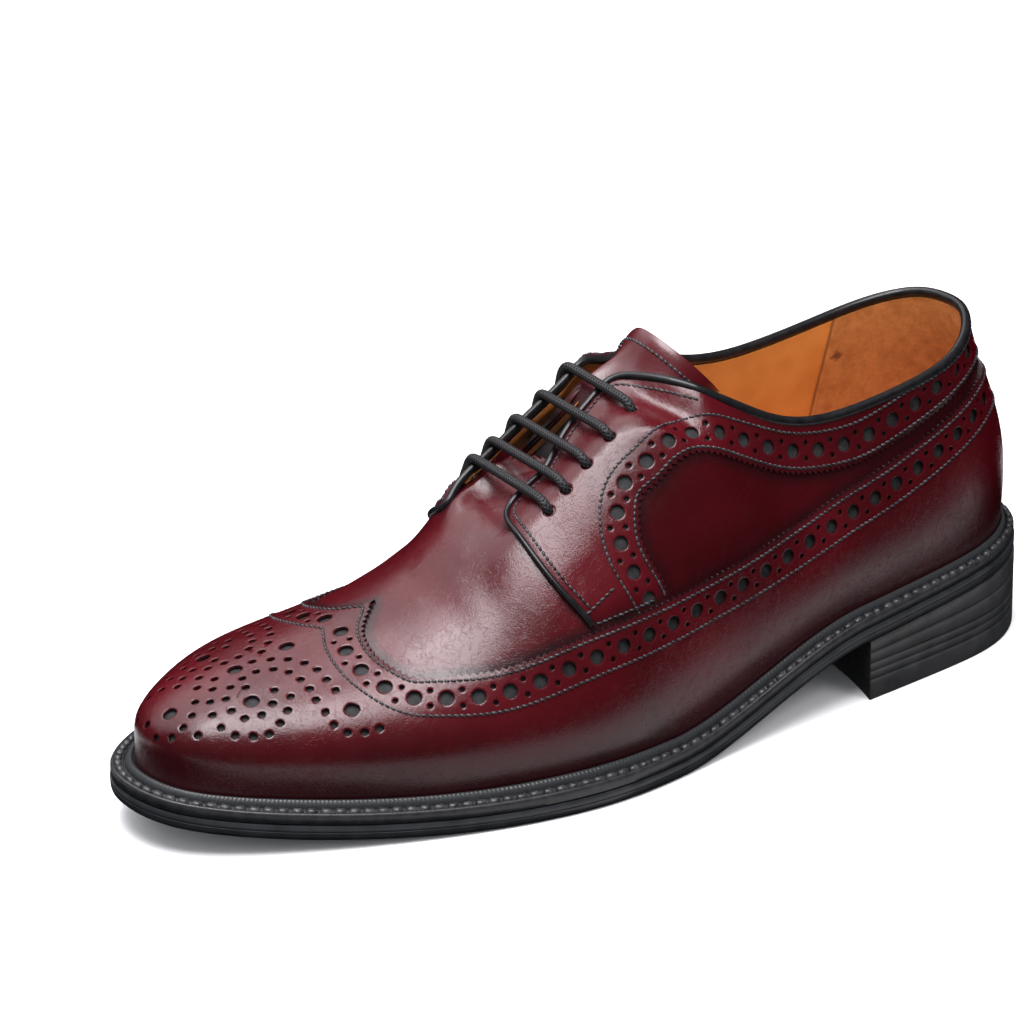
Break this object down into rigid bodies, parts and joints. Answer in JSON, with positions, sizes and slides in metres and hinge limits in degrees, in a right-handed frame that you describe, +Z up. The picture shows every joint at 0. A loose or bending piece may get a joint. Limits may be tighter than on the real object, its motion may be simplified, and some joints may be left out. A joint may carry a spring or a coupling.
{
  "type": "full brogue derby shoe",
  "caption": "Left full brogue derby shoe: hollow winged upper, open lacing over a tongue, storm welt, arched rubber outsole and stacked heel.",
  "frame": {"origin": "on the floor, under the middle of the shoe's length and breadth", "axes": "-X to the toe, +X to the heel, -Y to the outer (lateral) side, +Z up"},
  "size_m": [0.304, 0.1103, 0.1168],
  "materials": {
    "upper_leather": "glossy burgundy calf",
    "tongue_leather": "glossy burgundy calf",
    "insole_leather": "plain tan lining leather",
    "welt_leather": "waxed black",
    "outsole_rubber": "satin black",
    "heel_rubber": "satin black",
    "piping_leather": "satin black",
    "lace_cord": "waxed round braid"
  },
  "bodies": {
    "root": {"upper": "upper_leather", "tongue": "tongue_leather", "insole": "insole_leather", "welt": "welt_leather", "outsole": "outsole_rubber", "heel_top_piece": "heel_rubber", "heel_lift_lower": "heel_rubber", "heel_lift_upper": "heel_rubber", "topline_piping": "piping_leather", "lace_bar_1": "lace_cord", "lace_bar_2": "lace_cord", "lace_bar_3": "lace_cord", "lace_bar_4": "lace_cord", "lace_bar_5": "lace_cord"}
  },
  "joints": []
}
